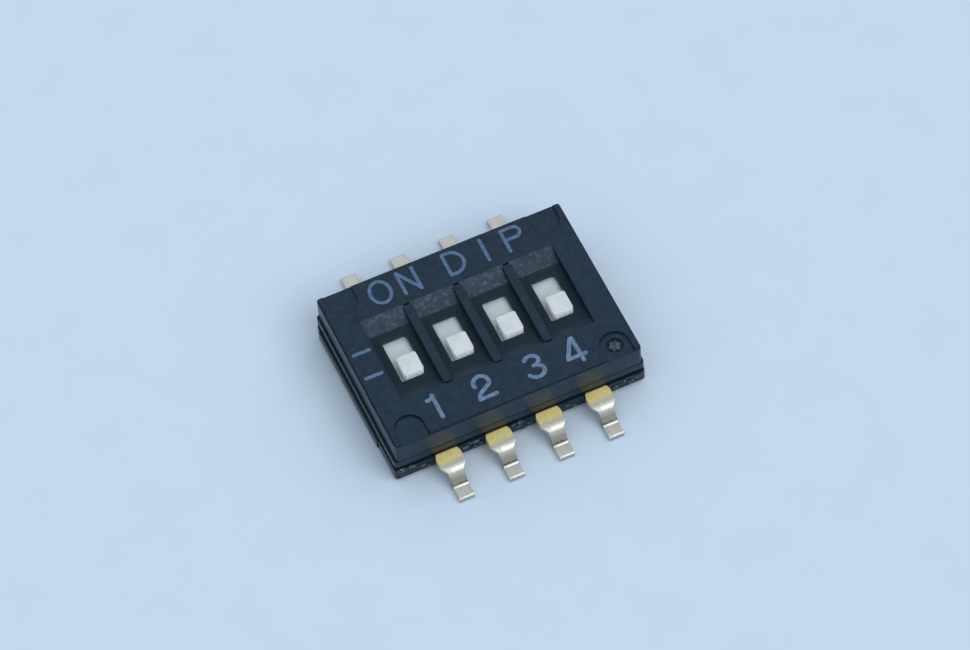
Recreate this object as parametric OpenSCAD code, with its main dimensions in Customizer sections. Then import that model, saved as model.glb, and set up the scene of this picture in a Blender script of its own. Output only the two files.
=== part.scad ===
// Half-pitch slide DIP switch with four positions and gull-wing terminals.
//
// Origin: on the board, under the middle of the switch.
// +X runs along the row from switch 1 to the last one, +Y points to the ON
// side and +Z is up. Every slider is drawn OFF, which is its rest position.
//
// The cover and the base are joined at the flange. Each switch has a slider,
// which carries a forked contact spring over the pads of two terminals that
// are moulded into the floor of the base.

/* [Row] */
// Number of switches in the row
positions = 4; // [2:1:8]
// Distance between neighbouring switches
pitch = 1.27; // [1.22:0.01:1.6]

/* [Cover] */
// Distance from the centre line of an end switch to the end of the cover
cover_end = 1.22; // [1.1:0.01:1.6]
// Width of the cover across the row
cover_w = 4.6; // [3.8:0.05:5.8]
// Height of the cover's top face above the board
cover_top = 1.45; // [1.42:0.01:1.8]
// Radius of the cover's upright corners
cover_corner_r = 0.1; // [0.05:0.01:0.3]
// Chamfer round the top face
cover_chamfer = 0.04; // [0.01:0.01:0.08]
// Depth and height of the shadow line where the cover meets the base
shadow_line = 0.02; // [0.01:0.01:0.08]

/* [Finger recess] */
// Depth of the recess below the top face
recess_depth = 0.18; // [0.1:0.01:0.24]
// Thickness of the plate that closes the slide channels
plate_t = 0.1; // [0.08:0.01:0.14]
// Width of the ribs between neighbouring switches
rib_w = 0.23; // [0.15:0.01:0.35]
// Radius of the ribs' upright corners
rib_corner_r = 0.07; // [0.02:0.01:0.07]
// Distance from the centre line of an end switch to the end of the recess
recess_end = 0.55; // [0.45:0.01:0.7]
// Flat floor between a window and the foot of a ramp
recess_floor = 0.24; // [0.1:0.01:0.4]
// Length of the ramps at the ON end
ramp_run_on = 0.42; // [0.2:0.01:0.6]
// Length of the ramps at the OFF end
ramp_run_off = 0.36; // [0.2:0.01:0.6]
// Gap between each end of a rib and the end of the recess
rib_gap = 0.04; // [0.03:0.01:0.1]
// Width of the slot between two ramps past the end of a rib
rib_slot_w = 0.14; // [0.12:0.01:0.15]

/* [Corner recesses] */
// Radius of the round-ended recesses at the four corners
mark_r = 0.355; // [0.2:0.005:0.45]
// Depth of the corner recesses
mark_depth = 0.06; // [0.03:0.01:0.1]
// Distance from the end of the cover to a corner recess's centre
mark_end = 0.525; // [0.46:0.005:0.7]
// Distance from the side of the cover to a corner recess's centre
mark_side = 0.37; // [0.3:0.01:0.6]
// Radius of the gate pit in the corner recess by the last switch
gate_pit_r = 0.2; // [0.12:0.01:0.2]
// Depth of the gate pit
gate_pit_depth = 0.03; // [0.02:0.01:0.06]
// Diameter of the stub where the gate was broken off
gate_d = 0.14; // [0.08:0.01:0.2]
// Height of the gate stub
gate_h = 0.02; // [0.01:0.01:0.04]

/* [Window and knob] */
// Length of the window in the plate, along the slide direction
window_l = 1.2; // [1.1:0.01:1.4]
// Width of the window
window_w = 0.6; // [0.54:0.01:0.64]
// Radius of the window's corners
window_r = 0.05; // [0.02:0.01:0.1]
// Length of the knob along the slide direction
knob_l = 0.56; // [0.5:0.01:0.7]
// Side clearance between the knob and the window
knob_gap = 0.05; // [0.04:0.005:0.06]
// Clearance between the knob and the end of the window at each end of travel
knob_stop_gap = 0.02; // [0.01:0.005:0.04]
// Depth of the knob's top below the top face
knob_recess = 0.02; // [0:0.01:0.08]
// Radius of the knob's upright corners
knob_corner_r = 0.08; // [0.04:0.01:0.15]
// Radius of the knob's top edges
knob_edge_r = 0.02; // [0.01:0.01:0.08]

/* [Slider] */
// How far the slider's slab reaches under the plate at each side of the window
slab_side = 0.13; // [0.06:0.01:0.15]
// Thickness of the slab
slab_t = 0.16; // [0.12:0.01:0.2]
// How far the slab still reaches past the window at each end of travel
slab_overlap = 0.05; // [0.02:0.01:0.1]
// Free length at each end of the slide channel at the end of travel
channel_end_gap = 0.05; // [0.02:0.01:0.1]
// Thickness of the carrier's cheeks beside the contact spring
cheek_t = 0.07; // [0.05:0.01:0.09]
// How far the carrier reaches past the contact spring at each end
carrier_over = 0.01; // [0:0.005:0.05]
// Thickness of the carrier between the slab and the contact spring
carrier_web = 0.19; // [0.1:0.01:0.2]
// Diameter of the peg that holds the contact spring
peg_d = 0.16; // [0.12:0.01:0.18]
// How far the peg stands out below the contact spring
peg_stand = 0.02; // [0.01:0.01:0.04]
// Running clearance above and below a moving face
run_gap = 0.02; // [0.01:0.005:0.03]
// Running clearance at each side of a slide channel
side_gap = 0.05; // [0.04:0.005:0.06]
// Running clearance at each side of the carrier in its contact channel
carrier_side_gap = 0.05; // [0.04:0.01:0.08]
// How far the sliders sit towards +X within their side clearances
slider_lean = 0.035; // [0:0.005:0.035]
// Free length at each end of a contact channel at the end of travel
carrier_end_gap = 0.1; // [0.05:0.01:0.2]

/* [Contact spring] */
// Thickness of the contact spring's strip
spring_t = 0.06; // [0.04:0.01:0.07]
// Width of the contact spring
spring_w = 0.44; // [0.36:0.01:0.46]
// Length of the flat middle of the contact spring
spring_flat = 0.44; // [0.36:0.01:0.5]
// Slope of the contact arms
arm_angle = 35; // [30:1:40]
// Inner radius of the bends in the contact arms
arm_bend_r = 0.07; // [0.04:0.01:0.09]
// Width of the slot that forks each arm
fork_slot = 0.08; // [0.05:0.01:0.12]
// Clearance between the peg and the hole in the contact spring
peg_gap = 0.01; // [0.005:0.005:0.02]
// Clearance between the contact spring and the carrier's cheeks
cheek_gap = 0.01; // [0.005:0.005:0.02]

/* [Terminals] */
// Thickness of the terminal strip
lead_t = 0.15; // [0.1:0.01:0.16]
// Height of the terminals' contact faces above the board
lead_top = 0.52; // [0.5:0.01:0.6]
// Width of the solder foot and leg
foot_w = 0.38; // [0.3:0.01:0.45]
// Length of the solder foot's flat
foot_l = 0.35; // [0.3:0.01:0.6]
// How far the solder feet reach past the cover on each side
lead_reach = 1.15; // [1.1:0.01:1.6]
// Width of the shoulder between the housing and the first bend
shoulder_w = 0.62; // [0.54:0.01:0.8]
// Width of the strip where it leaves the housing
root_w = 0.53; // [0.42:0.01:0.6]
// Length over which the strip widens from its root to its shoulder
root_run = 0.11; // [0.05:0.01:0.2]
// Length over which the shoulder narrows to the leg, in the upper bend
neck_run = 0.16; // [0.1:0.01:0.2]
// Width of the contact pad inside the base
pad_w = 0.46; // [0.4:0.01:0.55]
// Inner radius of the upper bend
lead_bend_r = 0.07; // [0.05:0.01:0.1]
// Inner radius of the bend between leg and foot
foot_bend_r = 0.03; // [0.02:0.01:0.1]
// Slope of the leg
leg_angle = 55; // [50:1:75]
// Distance from the middle of the switch to the OFF side's contact pad
pad_in_off = 0.05; // [0.03:0.01:0.12]

/* [Base] */
// Height of the base's underside above the board
standoff = 0.1; // [0.05:0.01:0.14]
// Height of the moulding's parting groove above the lower half
groove_h = 0.14; // [0.08:0.01:0.16]
// How far the lower half rises round each terminal
lead_seat = 0.09; // [0.05:0.01:0.1]
// Depth of the parting groove
groove_depth = 0.08; // [0.04:0.01:0.12]
// Width of the reliefs between the terminals
relief_w = 0.5; // [0.3:0.01:0.56]
// Extra depth of the reliefs between the terminals
relief_depth = 0.08; // [0.04:0.01:0.12]
// Height of the flange that carries the cover
flange_h = 0.21; // [0.16:0.01:0.3]
// How far the flange stands out past the end of the cover
flange_over = 0.055; // [0:0.005:0.1]
// How far the lower half stands out past the end of the cover
lower_over = 0.07; // [0:0.005:0.12]
// How far the side rails stand out from the lower half
rail_over = 0.03; // [0.01:0.005:0.06]
// Length of the side rails
rail_l = 3.4; // [2:0.1:3.6]
// Distance from the ON side of the base to the side rails
rail_end = 0.2; // [0.1:0.01:0.4]
// Chamfer round the underside
base_chamfer = 0.03; // [0.02:0.01:0.08]
// Thickness of the cover's skirt round the base's plug
skirt_t = 0.35; // [0.25:0.01:0.4]
// Clearance between the cover and the base's plug
fit_gap = 0.01; // [0.005:0.005:0.02]
// Diameter of the locating posts
post_d = 0.26; // [0.2:0.01:0.3]
// Height of the locating posts
post_h = 0.16; // [0.1:0.01:0.18]
// Diameter of the holes that the mould's support pins leave underneath
pin_hole_d = 0.3; // [0.2:0.01:0.36]

/* [Hidden] */
$fn = 48;
// Reach of the cutting tools past the faces that they open
cut = 0.2;
// Overlap that joins neighbouring parts of a bent strip
lap = 0.0001;

// Housing, along and across the row
first_x = -(positions - 1) * pitch / 2;
row_l = (positions - 1) * pitch;
cover_l = row_l + 2 * cover_end;
lower_l = cover_l + 2 * lower_over;
flange_l = cover_l + 2 * flange_over;

// Levels of the base, upwards
groove_z = lead_top - lead_t + lead_seat;
flange_z = groove_z + groove_h;
cover_z = flange_z + flange_h;

// Levels of the slider, downwards from the cover's top face
recess_z = cover_top - recess_depth;
plate_z = recess_z - plate_t;
slab_top = plate_z - run_gap;
slab_z = slab_top - slab_t;
plug_top = slab_z - run_gap;
strip_top = slab_z - carrier_web;
carrier_z = lead_top + run_gap;
knob_top = cover_top - knob_recess;

// Knob in its window
travel = window_l - knob_l - 2 * knob_stop_gap;
knob_w = window_w - 2 * knob_gap;

// Contact arm: falls from the flat to the contact point, then turns up again
arm_bends = 2 * arm_bend_r + spring_t;
arm_drop = strip_top - spring_t - lead_top - run_gap;
arm_l = (arm_drop - arm_bends * (1 - cos(arm_angle))) / sin(arm_angle);
contact_y = spring_flat / 2 + arm_bends * sin(arm_angle) + arm_l * cos(arm_angle);
spring_reach = contact_y + (arm_bend_r + spring_t) * sin(arm_angle);

// Carrier that holds the contact spring, and the contact channel it runs in
cheek_inner = spring_w + 2 * cheek_gap;
carrier_w = cheek_inner + 2 * cheek_t;
carrier_l = 2 * (spring_reach + carrier_over);
channel_w = carrier_w + 2 * carrier_side_gap;
channel_l = carrier_l + travel + 2 * carrier_end_gap;

// Slab, which covers its window at both ends of travel and the whole carrier
slab_w = window_w + 2 * slab_side;
slab_l = max(window_l + travel + 2 * slab_overlap, carrier_l);
slab_channel_w = slab_w + 2 * side_gap;
slab_channel_l = slab_l + travel + 2 * channel_end_gap;

// Finger recess: the foot of the ramps and the far ends of the ramps
ramp_foot = window_l / 2 + recess_floor;
recess_on = ramp_foot + ramp_run_on;
recess_off = ramp_foot + ramp_run_off;
recess_half_l = row_l / 2 + recess_end;

// Plug of the base inside the cover's skirt
plug_l = cover_l - 2 * skirt_t - 2 * fit_gap;
plug_w = cover_w - 2 * skirt_t - 2 * fit_gap;
post_x = (plug_l + row_l + slab_channel_w) / 4;
post_y = slab_channel_l / 2 + post_d / 2;

// Gull-wing form: both bends turn through the leg's angle
lead_bends = lead_bend_r + lead_t + foot_bend_r;
lead_drop = lead_top - lead_t;
leg_l = (lead_drop - lead_bends * (1 - cos(leg_angle))) / sin(leg_angle);
tip_y = cover_w / 2 + lead_reach;
foot_y = tip_y - foot_l;
bend_y = foot_y - lead_bends * sin(leg_angle) - leg_l * cos(leg_angle);

// Middle of switch n along the row
function switch_x(n) = first_x + (n - 1) * pitch;

// Places a child at the middle of every switch
module at_switches() {
    for (n = [1 : positions])
        translate([switch_x(n), 0, 0])
            children();
}

// Places a child at the middle of every gap between two switches
module between_switches() {
    for (n = [1 : positions - 1])
        translate([switch_x(n) + pitch / 2, 0, 0])
            children();
}

// Places a child in all four quarters of the plan
module in_corners() {
    for (side = [0, 1])
        for (end = [0, 1])
            mirror([end, 0, 0])
                mirror([0, side, 0])
                    children();
}

// Rectangle about the origin with true arcs at its corners
module round_rect(length, width, r) {
    square([length - 2 * r, width], center = true);
    square([length, width - 2 * r], center = true);
    for (x = [-1, 1])
        for (y = [-1, 1])
            translate([x * (length / 2 - r), y * (width / 2 - r)])
                circle(r);
}

// Upright block with round corners between two levels
module round_block(length, width, z0, z1, r) {
    translate([0, 0, z0])
        linear_extrude(z1 - z0)
            round_rect(length, width, r);
}

// Plain block about the middle of the plan between two levels
module block(length, width, z0, z1) {
    translate([-length / 2, -width / 2, z0])
        cube([length, width, z1 - z0]);
}

// Section with its top corners cut at 45 degrees
module chamfered_section(width, z0, z1, chamfer) {
    polygon([
        [-width / 2, z0],
        [width / 2, z0],
        [width / 2, z1 - chamfer],
        [width / 2 - chamfer, z1],
        [-width / 2 + chamfer, z1],
        [-width / 2, z1 - chamfer]
    ]);
}

// Section with its top corners rounded
module rounded_section(width, z0, z1, r) {
    translate([-width / 2, z0])
        square([width, z1 - z0 - r]);
    translate([-width / 2 + r, z0])
        square([width - 2 * r, z1 - z0]);
    for (side = [-1, 1])
        translate([side * (width / 2 - r), z1 - r])
            circle(r);
}

// Turns a section drawn in X and Z into a bar that runs along Y
module bar_along_y(length) {
    rotate([90, 0, 0])
        linear_extrude(length, center = true)
            children();
}

// Turns a section drawn in Y and Z into a bar that runs along X
module bar_along_x(length) {
    rotate([90, 0, 90])
        linear_extrude(length, center = true)
            children();
}

// Straight part of a bent strip in its side view, with the top face on the X axis
module straight(length, t) {
    translate([-lap, -t])
        square([length + 2 * lap, t]);
}

// Bend away from the top face, and what follows it
module bend_down(angle, r, t) {
    translate([0, -t - r]) {
        ring_part(r, r + t, 90 - angle, 90);
        rotate(-angle)
            translate([0, t + r])
                children();
    }
}

// Bend towards the top face, and what follows it
module bend_up(angle, r, t) {
    translate([0, r]) {
        ring_part(r, r + t, 270, 270 + angle);
        rotate(angle)
            translate([0, -r])
                children();
    }
}

// Part of a ring between two angles, less than half a turn
module ring_part(r_in, r_out, from, to) {
    reach = r_out / cos((to - from) / 2) + cut;
    intersection() {
        difference() {
            circle(r_out);
            circle(r_in);
        }
        polygon([
            [0, 0],
            reach * [cos(from), sin(from)],
            reach * [cos((from + to) / 2), sin((from + to) / 2)],
            reach * [cos(to), sin(to)]
        ]);
    }
}

// ---- Cover ----

// Outer form, with the shadow line cut round its foot
module cover_body() {
    intersection() {
        union() {
            round_block(cover_l, cover_w, cover_z + shadow_line, cover_top, cover_corner_r);
            round_block(
                cover_l - 2 * shadow_line, cover_w - 2 * shadow_line,
                cover_z, cover_z + shadow_line + cut, cover_corner_r
            );
        }
        bar_along_y(cover_w + cut)
            chamfered_section(cover_l, cover_z, cover_top, cover_chamfer);
        bar_along_x(cover_l + cut)
            chamfered_section(cover_w, cover_z, cover_top, cover_chamfer);
    }
}

// Ramps at one end of the finger recess, with a slot between two bays
module ramps(run) {
    difference() {
        bar_along_x(2 * recess_half_l + cut)
            polygon([
                [ramp_foot, recess_z],
                [ramp_foot + run, cover_top],
                [ramp_foot + run + cut, cover_top],
                [ramp_foot + run + cut, recess_z - cut],
                [ramp_foot, recess_z - cut]
            ]);
        between_switches()
            block(rib_slot_w, 2 * (ramp_foot + run), recess_z - 2 * cut, cover_top + cut);
    }
}

// Finger recess with a ramp at both ends of every bay. A rib runs between two
// bays, over almost the whole width of the recess.
module finger_recess() {
    recess_w = recess_on + recess_off;
    rib_l = recess_w - 2 * rib_gap;
    difference() {
        translate([0, (recess_on - recess_off) / 2, 0]) {
            difference() {
                block(2 * recess_half_l, recess_w, recess_z, cover_top + cut);
                between_switches()
                    round_block(rib_w, rib_l, recess_z - cut, cover_top + 2 * cut, rib_corner_r);
            }
        }
        ramps(ramp_run_on);
        mirror([0, 1, 0])
            ramps(ramp_run_off);
    }
}

// Round-ended recess that runs out to the side of the cover
module corner_mark() {
    translate([cover_l / 2 - mark_end, cover_w / 2 - mark_side, cover_top - mark_depth]) {
        cylinder(r = mark_r, h = mark_depth + cut);
        translate([-mark_r, 0, 0])
            cube([2 * mark_r, mark_side + cut, mark_depth + cut]);
    }
}

// Pit round the stub of the gate, in the corner recess by the last switch
module gate_pit() {
    translate([cover_l / 2 - mark_end, mark_side - cover_w / 2, cover_top - mark_depth - gate_pit_depth])
        difference() {
            cylinder(r = gate_pit_r, h = gate_pit_depth + cut);
            translate([0, 0, -cut])
                cylinder(d = gate_d, h = gate_h + cut);
        }
}

module cover() {
    color("#20242c")
        difference() {
            cover_body();
            finger_recess();
            in_corners()
                corner_mark();
            gate_pit();
            at_switches() {
                round_block(window_w, window_l, plate_z - cut, recess_z + cut, window_r);
                block(slab_channel_w, slab_channel_l, plug_top, plate_z);
            }
            block(
                plug_l + 2 * fit_gap, plug_w + 2 * fit_gap,
                cover_z - cut, plug_top + fit_gap
            );
            in_corners()
                translate([post_x, post_y, plug_top])
                    cylinder(d = post_d + 2 * fit_gap, h = post_h + fit_gap);
        }
}

// ---- Base ----

// Lower half of the moulding, under the parting groove
module base_lower() {
    intersection() {
        round_block(lower_l, cover_w, standoff, groove_z, cover_corner_r);
        mirror([0, 0, 1])
            bar_along_y(cover_w + cut)
                chamfered_section(lower_l, -groove_z, -standoff, base_chamfer);
        mirror([0, 0, 1])
            bar_along_x(lower_l + cut)
                chamfered_section(cover_w, -groove_z, -standoff, base_chamfer);
    }
    // Rails along both ends of the row
    for (end = [0, 1])
        mirror([end, 0, 0])
            translate([lower_l / 2 - cut, cover_w / 2 - rail_end - rail_l, standoff + base_chamfer])
                cube([cut + rail_over, rail_l, groove_z - standoff - 2 * base_chamfer]);
}

// Terminals of every switch, as they lie in the moulding
module all_terminals() {
    for (n = [1 : positions]) {
        off_terminal(n);
        on_terminal(n);
    }
}

module base() {
    groove_l = lower_l - 2 * groove_depth;
    groove_w = cover_w - 2 * groove_depth;
    color("#262a33")
        difference() {
            union() {
                base_lower();
                block(groove_l, groove_w, groove_z, flange_z);
                round_block(flange_l, cover_w, flange_z, cover_z, cover_corner_r);
                block(plug_l, plug_w, cover_z, plug_top);
                in_corners()
                    translate([post_x, post_y, plug_top])
                        cylinder(d = post_d, h = post_h);
            }
            // Reliefs between the terminals, in the parting groove
            for (side = [0, 1])
                mirror([0, side, 0])
                    between_switches()
                        translate([-relief_w / 2, groove_w / 2 - relief_depth, groove_z])
                            cube([relief_w, relief_depth + cut, groove_h]);
            // Contact channels, with the pads in their floors
            at_switches()
                block(channel_w, channel_l, lead_top, plug_top + cut);
            all_terminals();
            // Holes left by the pins that hold the terminals in the mould
            at_switches()
                for (y = [-1, 1])
                    translate([0, y * (channel_l / 2 - pin_hole_d), standoff - cut])
                        cylinder(d = pin_hole_d, h = lead_top - lead_t - standoff + cut);
        }
}

// ---- Terminals ----

// Side view of a terminal that leaves the housing towards +Y
module terminal_side(pad_in) {
    translate([pad_in, lead_top]) {
        straight(bend_y - pad_in, lead_t);
        translate([bend_y - pad_in, 0])
            bend_down(leg_angle, lead_bend_r, lead_t) {
                straight(leg_l, lead_t);
                translate([leg_l, 0])
                    bend_up(leg_angle, foot_bend_r, lead_t)
                        straight(foot_l, lead_t);
            }
    }
}

// Outline between two mirrored edges, given as [half width, distance] points
module mirrored_outline(edge) {
    polygon(concat(edge, [for (i = [len(edge) - 1 : -1 : 0]) [-edge[i].x, edge[i].y]]));
}

// Plan of a terminal's pad, root and shoulder
module pad_plan(pad_in) {
    root_y = cover_w / 2;
    mirrored_outline([
        [pad_w / 2, pad_in],
        [pad_w / 2, root_y - root_run],
        [root_w / 2, root_y],
        [shoulder_w / 2, root_y + root_run],
        [shoulder_w / 2, tip_y]
    ]);
}

// Shoulder and leg of the blank, seen square to the middle of the upper bend
module leg_plan() {
    mirrored_outline([
        [shoulder_w / 2, -2 * tip_y],
        [shoulder_w / 2, -neck_run / 2],
        [foot_w / 2, neck_run / 2],
        [foot_w / 2, 2 * tip_y]
    ]);
}

module terminal(pad_in) {
    intersection() {
        bar_along_x(shoulder_w + cut)
            terminal_side(pad_in);
        translate([0, 0, -cut])
            linear_extrude(lead_top + 2 * cut)
                pad_plan(pad_in);
        translate([0, bend_y, lead_top - lead_t - lead_bend_r])
            rotate([-leg_angle / 2, 0, 0])
                linear_extrude(4 * tip_y, center = true)
                    leg_plan();
    }
}

module off_terminal(n) {
    color("#c9b98a")
        translate([switch_x(n), 0, 0])
            mirror([0, 1, 0])
                terminal(pad_in_off);
}

// Its pad starts where the contact spring's tips are halfway through the travel
module on_terminal(n) {
    color("#c9b98a")
        translate([switch_x(n), 0, 0])
            terminal(contact_y);
}

// ---- Slider and contact spring ----

// Places a slider's pieces in the OFF position of switch n
module in_switch(n) {
    translate([switch_x(n) + slider_lean, -travel / 2, 0])
        children();
}

module knob() {
    intersection() {
        round_block(knob_w, knob_l, slab_z, knob_top, knob_corner_r);
        bar_along_y(knob_l)
            rounded_section(knob_w, slab_z, knob_top, knob_edge_r);
        bar_along_x(knob_w)
            rounded_section(knob_l, slab_z, knob_top, knob_edge_r);
    }
}

module slider(n) {
    color("#f2f2ee")
        in_switch(n) {
            knob();
            block(slab_w, slab_l, slab_z, slab_top);
            difference() {
                block(carrier_w, carrier_l, carrier_z, slab_z);
                block(cheek_inner, carrier_l + cut, carrier_z - cut, strip_top);
            }
            translate([0, 0, strip_top - spring_t - peg_stand])
                cylinder(d = peg_d, h = peg_stand + spring_t + carrier_web);
        }
}

// Side view of one contact arm, from the middle of the flat outwards
module arm_side() {
    translate([0, strip_top]) {
        straight(spring_flat / 2, spring_t);
        translate([spring_flat / 2, 0])
            bend_down(arm_angle, arm_bend_r, spring_t) {
                straight(arm_l, spring_t);
                translate([arm_l, 0])
                    bend_up(2 * arm_angle, arm_bend_r, spring_t);
            }
    }
}

module contact_spring(n) {
    slot_from = (peg_d + spring_flat) / 4;
    color("#d9b74e")
        in_switch(n)
            difference() {
                bar_along_x(spring_w)
                    for (side = [0, 1])
                        mirror([side, 0])
                            arm_side();
                translate([0, 0, strip_top - spring_t - cut])
                    cylinder(d = peg_d + 2 * peg_gap, h = spring_t + 2 * cut);
                for (side = [0, 1])
                    mirror([0, side, 0])
                        translate([-fork_slot / 2, slot_from, lead_top])
                            cube([fork_slot, contact_y, strip_top]);
            }
}

cover();
base();
for (n = [1 : positions]) {
    slider(n);
    contact_spring(n);
    off_terminal(n);
    on_terminal(n);
}
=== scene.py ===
"""Looks of a half-pitch slide DIP switch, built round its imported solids.

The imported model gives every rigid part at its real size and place. This script
breaks the edges of the mouldings and of the terminals, gives every part its
finish, adds the printing, the gate scar and the moulding flash, and sets the
floor, the lamps and the camera.

Shapes are worked in millimetres. settle() brings a finished shape to metres.
The switches run along X, the OFF side faces -Y and Z is up.
"""

import logging
import math
from collections.abc import Callable, Sequence
from dataclasses import dataclass, field
from enum import Enum

import bmesh
import bpy
from mathutils import Matrix, Vector


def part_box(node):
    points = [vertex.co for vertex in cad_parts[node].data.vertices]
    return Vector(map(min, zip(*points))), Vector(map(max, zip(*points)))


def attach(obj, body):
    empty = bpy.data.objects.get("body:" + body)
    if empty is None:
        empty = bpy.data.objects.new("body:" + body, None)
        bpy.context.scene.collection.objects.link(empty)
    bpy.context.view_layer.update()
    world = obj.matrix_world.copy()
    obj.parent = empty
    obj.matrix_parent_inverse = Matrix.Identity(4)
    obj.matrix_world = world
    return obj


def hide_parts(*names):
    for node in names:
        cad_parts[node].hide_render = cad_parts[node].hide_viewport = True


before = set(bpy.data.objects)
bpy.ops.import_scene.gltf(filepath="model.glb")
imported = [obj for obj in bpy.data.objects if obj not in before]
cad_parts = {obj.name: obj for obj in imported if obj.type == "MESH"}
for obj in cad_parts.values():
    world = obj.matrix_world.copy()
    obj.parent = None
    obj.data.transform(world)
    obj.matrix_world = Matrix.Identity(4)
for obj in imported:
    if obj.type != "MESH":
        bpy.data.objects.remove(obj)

MM = 0.001
log = logging.getLogger("dip_switch")

# Switches in the row, the distance between them and the middle of the gate's pit, in millimetres
SWITCHES = 4
PITCH = 1.27
GATE = (2.6, -1.93)

# Widest gap that is welded shut in millimetres, and sharpest bends taken as flat and as smooth in degrees
WELD = 0.0005
FLAT_BEND = 0.5
SMOOTH_BEND = 38.0

# Values between which a noise pattern mostly stays
NOISE_SPAN = (0.3, 0.7)

Piece = bpy.types.Object
Material = bpy.types.Material
Socket = bpy.types.NodeSocket
Colour = tuple[float, float, float, float]
Point = tuple[float, float]
Span = tuple[float, float]
Share = Callable[[Vector, Vector], float]


class Side(Enum):
    """The two long sides of the switch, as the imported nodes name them."""

    OFF = "off"
    ON = "on"


class Body(Enum):
    """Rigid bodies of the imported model."""

    HOUSING = "housing"
    ACTUATOR = "actuator_{}"


class Slot(Enum):
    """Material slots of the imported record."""

    COVER = "cover_plastic"
    BASE = "base_plastic"
    SLIDER = "slider_plastic"
    TERMINAL = "terminal_plating"


class CoverFinish(Enum):
    """Finishes of the cover's faces, by the order of its materials."""

    PLAIN = 0
    RAMP = 1
    RIM = 2
    FLOOR = 3


def display(red: int, green: int, blue: int) -> Colour:
    """Turns a display colour into the linear colour that a shader takes.

    Args:
        red: Red from 0 to 255.
        green: Green from 0 to 255.
        blue: Blue from 0 to 255.

    Returns:
        The linear colour with full opacity.
    """

    def linear(level: int) -> float:
        """Takes one channel from display to linear."""
        share = level / 255
        return share / 12.92 if share <= 0.04045 else ((share + 0.055) / 1.055) ** 2.4

    return linear(red), linear(green), linear(blue), 1.0


# ---- Working on meshes ----


def deselect_all() -> None:
    """Leaves object mode with nothing selected."""
    if bpy.context.object and bpy.context.object.mode != "OBJECT":
        bpy.ops.object.mode_set(mode="OBJECT")
    bpy.ops.object.select_all(action="DESELECT")


def take_up(piece: Piece) -> None:
    """Makes one piece the only selected and active object."""
    deselect_all()
    piece.select_set(True)
    bpy.context.view_layer.objects.active = piece


def newest() -> Piece:
    """Gives the object that was added last, with its place moved into its mesh."""
    bpy.ops.object.transform_apply(location=True, rotation=True, scale=True)
    return bpy.context.object


def join(pieces: Sequence[Piece], name: str) -> Piece:
    """Joins several objects into one.

    Args:
        pieces: The objects.
        name: Name of the joined piece.

    Returns:
        The joined piece.
    """
    deselect_all()
    for piece in pieces:
        piece.select_set(True)
    bpy.context.view_layer.objects.active = pieces[0]
    bpy.ops.object.join()
    whole = bpy.context.object
    whole.name = name
    return whole


def choose(
    piece: Piece,
    faces: Callable[[Vector, Vector], bool] | None = None,
    edges: Callable[[Vector, Vector], bool] | None = None,
    points: Callable[[Vector], bool] | None = None,
) -> int:
    """Enters edit mode with only the parts of a mesh that pass a test selected.

    Args:
        piece: The object to edit.
        faces: Test of a face's centre and normal.
        edges: Test of an edge's two ends.
        points: Test of a vertex's place.

    Returns:
        How many faces, edges or vertices are selected.
    """
    take_up(piece)
    kind = "FACE" if faces else "EDGE" if edges else "VERT"
    bpy.ops.object.mode_set(mode="EDIT")
    bpy.ops.mesh.select_mode(type=kind)
    bpy.ops.mesh.select_all(action="DESELECT")
    bpy.ops.object.mode_set(mode="OBJECT")
    mesh = piece.data
    if faces:
        for face in mesh.polygons:
            face.select = faces(face.center, face.normal)
        count = sum(face.select for face in mesh.polygons)
    elif edges:
        for edge in mesh.edges:
            edge.select = edges(*(mesh.vertices[i].co for i in edge.vertices))
        count = sum(edge.select for edge in mesh.edges)
    else:
        for vertex in mesh.vertices:
            vertex.select = points(vertex.co)
        count = sum(vertex.select for vertex in mesh.vertices)
    bpy.ops.object.mode_set(mode="EDIT")
    return count


def apply(piece: Piece, kind: str, **settings: object) -> None:
    """Adds a modifier with these settings and applies it at once.

    Args:
        piece: The object to change.
        kind: Type of the modifier, such as BEVEL.
        **settings: Values of the modifier's own properties.
    """
    take_up(piece)
    modifier = piece.modifiers.new(kind.title(), kind)
    for name, value in settings.items():
        setattr(modifier, name, value)
    bpy.ops.object.modifier_apply(modifier=modifier.name)


def from_node(node: str, name: str) -> Piece:
    """Makes one clean shape in millimetres from a CAD node's loose triangles.

    Args:
        node: Name of the CAD node.
        name: Name of the new piece.

    Returns:
        The new object, merged, with its flat faces joined.
    """
    piece = bpy.data.objects.new(name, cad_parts[node].data.copy())
    bpy.context.scene.collection.objects.link(piece)
    piece.data.name = name
    piece.data.materials.clear()
    piece.data.transform(Matrix.Scale(1 / MM, 4))
    take_up(piece)
    bpy.ops.mesh.customdata_custom_splitnormals_clear()
    bpy.ops.object.mode_set(mode="EDIT")
    bpy.ops.mesh.select_mode(type="EDGE")
    bpy.ops.mesh.select_all(action="SELECT")
    bpy.ops.mesh.remove_doubles(threshold=WELD)
    bpy.ops.mesh.mark_sharp(clear=True)
    bpy.ops.mesh.dissolve_limited(angle_limit=math.radians(FLAT_BEND))
    bpy.ops.object.mode_set(mode="OBJECT")
    return piece


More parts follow.
